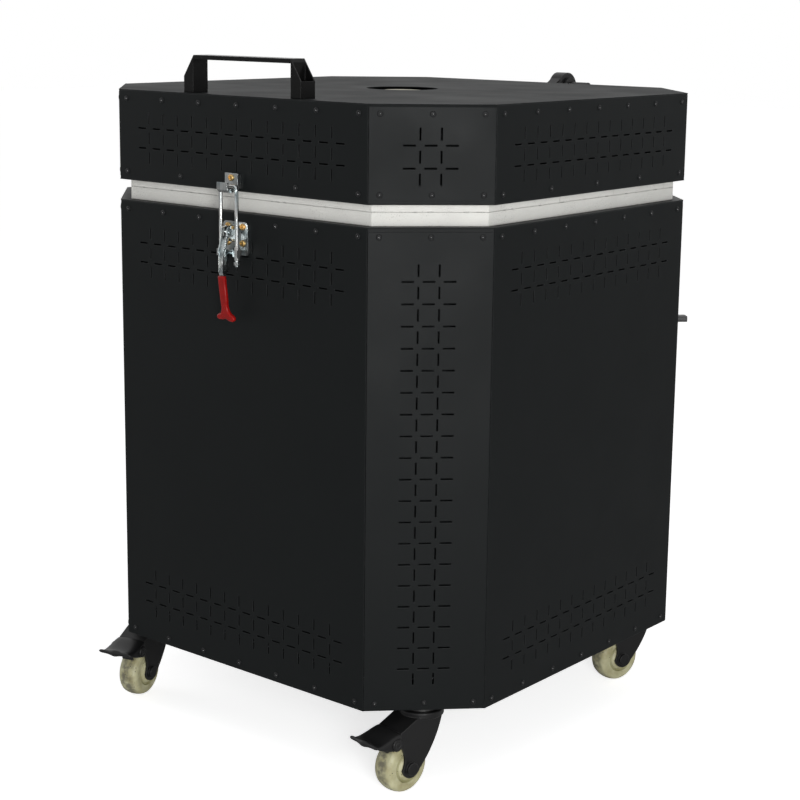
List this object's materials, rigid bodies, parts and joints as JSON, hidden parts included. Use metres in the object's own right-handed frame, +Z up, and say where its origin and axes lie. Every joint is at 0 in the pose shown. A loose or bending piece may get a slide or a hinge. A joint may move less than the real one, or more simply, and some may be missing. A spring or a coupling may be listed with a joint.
{
  "type": "electric pottery kiln",
  "caption": "Top-loading electric kiln with an unequal octagonal casing, hinged brick lid with vent plug, toggle latch, side control box and braked swivel casters.",
  "frame": {"origin": "on the floor under the middle of the casing", "axes": "+Z up, -Y towards the latch side, -X towards the control box"},
  "size_m": [0.8139, 0.8273, 0.9805],
  "materials": {
    "black_sheet": "fine-textured black powder coat",
    "black_rivet": "satin black",
    "black_fitting": "satin black, chipped at edges",
    "firebrick": "matt, porous",
    "vent_ceramic": "matt, smooth",
    "galvanised": "galvanised",
    "element_wire": "oxidised",
    "probe_ceramic": "matt",
    "dark_plastic": "matt",
    "pale_plastic": "matt",
    "key_rubber": "matt",
    "plated_steel": "zinc plated",
    "brass_screw": "yellow passivated",
    "red_grip": "dipped, satin",
    "nylon_wheel": "worn, dusty"
  },
  "bodies": {
    "cabinet": {"base_frame": "black_sheet", "top_ledge": "black_sheet", "front_panel": "black_sheet", "right_panel": "black_sheet", "back_panel": "black_sheet", "left_panel": "black_sheet", "corner_panels": "black_sheet", "body_rivets": "black_rivet", "brick_tray": "galvanised", "floor_bricks": "firebrick", "wall_bricks": "firebrick", "rim_bricks": "firebrick", "inner_jacket": "galvanised", "heating_elements": "element_wire", "element_terminals": "element_wire", "thermocouple": "probe_ceramic", "thermocouple_head": "dark_plastic", "hinge_bracket": "black_fitting", "hinge_pin": "black_fitting", "cabinet_screws": "brass_screw", "control_housing": "black_sheet", "control_cover": "black_sheet", "controller": "dark_plastic", "contactor": "dark_plastic", "terminal_block": "pale_plastic", "cable_gland": "dark_plastic", "latch_base": "plated_steel", "latch_pivot": "plated_steel", "caster_stems": "black_fitting", "caster_nuts": "plated_steel"},
    "lid": {"lid_top": "black_sheet", "lid_panels": "black_sheet", "lid_frame": "black_sheet", "lid_bricks": "firebrick", "lid_rivets": "black_rivet", "lid_screws": "brass_screw", "lid_handle": "black_fitting", "vent_sleeve": "vent_ceramic", "hinge_arm": "black_fitting", "latch_catch": "plated_steel"},
    "vent_plug": {"vent_plug": "vent_ceramic"},
    "latch_lever": {"latch_lever": "plated_steel", "latch_grip": "red_grip"},
    "latch_bolt": {"latch_bolt": "plated_steel", "latch_trunnion": "plated_steel", "latch_nuts": "plated_steel"},
    "power_switch": {"power_switch": "dark_plastic"},
    "key_up": {"key_up": "key_rubber"},
    "key_down": {"key_down": "key_rubber"},
    "key_run": {"key_run": "key_rubber"},
    "fork_front_right": {"fork_front_right": "black_fitting"},
    "wheel_front_right": {"wheel_front_right": "nylon_wheel"},
    "pedal_front_right": {"pedal_front_right": "black_fitting"},
    "fork_front_left": {"fork_front_left": "black_fitting"},
    "wheel_front_left": {"wheel_front_left": "nylon_wheel"},
    "pedal_front_left": {"pedal_front_left": "black_fitting"},
    "fork_back_right": {"fork_back_right": "black_fitting"},
    "wheel_back_right": {"wheel_back_right": "nylon_wheel"},
    "fork_back_left": {"fork_back_left": "black_fitting"},
    "wheel_back_left": {"wheel_back_left": "nylon_wheel"}
  },
  "joints": [
    {"name": "lid_hinge", "type": "hinge", "parent": "cabinet", "child": "lid", "pos_m": [0, 0.42, 0.918], "axis": [-1, 0, 0], "range_deg": [0, 95]},
    {"name": "vent_plug_lift", "type": "slide", "parent": "lid", "child": "vent_plug", "axis": [0, 0, 1], "range_m": [0, 0.12]},
    {"name": "latch_lever_pivot", "type": "hinge", "parent": "cabinet", "child": "latch_lever", "pos_m": [0, -0.367, 0.747], "axis": [-1, 0, 0], "range_deg": [0, 100]},
    {"name": "latch_bolt_swing", "type": "hinge", "parent": "latch_lever", "child": "latch_bolt", "pos_m": [0, -0.365, 0.7185], "axis": [-1, 0, 0], "range_deg": [-84, 0]},
    {"name": "power_switch_turn", "type": "hinge", "parent": "cabinet", "child": "power_switch", "pos_m": [-0.442, 0, 0.48], "axis": [-1, 0, 0], "range_deg": [0, 90]},
    {"name": "key_up_press", "type": "slide", "parent": "cabinet", "child": "key_up", "axis": [1, 0, 0], "range_m": [0, 0.0015], "stiffness_N_per_m": 400},
    {"name": "key_down_press", "type": "slide", "parent": "cabinet", "child": "key_down", "axis": [1, 0, 0], "range_m": [0, 0.0015], "stiffness_N_per_m": 400},
    {"name": "key_run_press", "type": "slide", "parent": "cabinet", "child": "key_run", "axis": [1, 0, 0], "range_m": [0, 0.0015], "stiffness_N_per_m": 400},
    {"name": "swivel_front_right", "type": "hinge", "parent": "cabinet", "child": "fork_front_right", "pos_m": [0.27, -0.27, 0.1], "axis": [0, 0, 1], "continuous": true},
    {"name": "roll_front_right", "type": "hinge", "parent": "fork_front_right", "child": "wheel_front_right", "pos_m": [0.26471, -0.30763, 0.0375], "axis": [0.9903, -0.1392, 0], "continuous": true},
    {"name": "brake_front_right", "type": "hinge", "parent": "fork_front_right", "child": "pedal_front_right", "pos_m": [0.26067, -0.33635, 0.08], "axis": [0.9903, -0.1392, 0], "range_deg": [0, 8], "stiffness_Nm_per_rad": 2},
    {"name": "swivel_front_left", "type": "hinge", "parent": "cabinet", "child": "fork_front_left", "pos_m": [-0.27, -0.27, 0.1], "axis": [0, 0, 1], "continuous": true},
    {"name": "roll_front_left", "type": "hinge", "parent": "fork_front_left", "child": "wheel_front_left", "pos_m": [-0.26016, -0.30671, 0.0375], "axis": [0.9659, 0.2588, 0], "continuous": true},
    {"name": "brake_front_left", "type": "hinge", "parent": "fork_front_left", "child": "pedal_front_left", "pos_m": [-0.25266, -0.33472, 0.08], "axis": [0.9659, 0.2588, 0], "range_deg": [0, 8], "stiffness_Nm_per_rad": 2},
    {"name": "swivel_back_right", "type": "hinge", "parent": "cabinet", "child": "fork_back_right", "pos_m": [0.27, 0.27, 0.1], "axis": [0, 0, 1], "continuous": true},
    {"name": "roll_back_right", "type": "hinge", "parent": "fork_back_right", "child": "wheel_back_right", "pos_m": [0.25889, 0.23366, 0.0375], "axis": [0.9563, -0.2924, 0], "continuous": true},
    {"name": "swivel_back_left", "type": "hinge", "parent": "cabinet", "child": "fork_back_left", "pos_m": [-0.27, 0.27, 0.1], "axis": [0, 0, 1], "continuous": true},
    {"name": "roll_back_left", "type": "hinge", "parent": "fork_back_left", "child": "wheel_back_left", "pos_m": [-0.2634, 0.23258, 0.0375], "axis": [0.9848, 0.1736, 0], "continuous": true}
  ],
  "couplings": [
    {"joint": "latch_bolt_swing", "follows": "latch_lever_pivot", "ratio": -0.78}
  ]
}
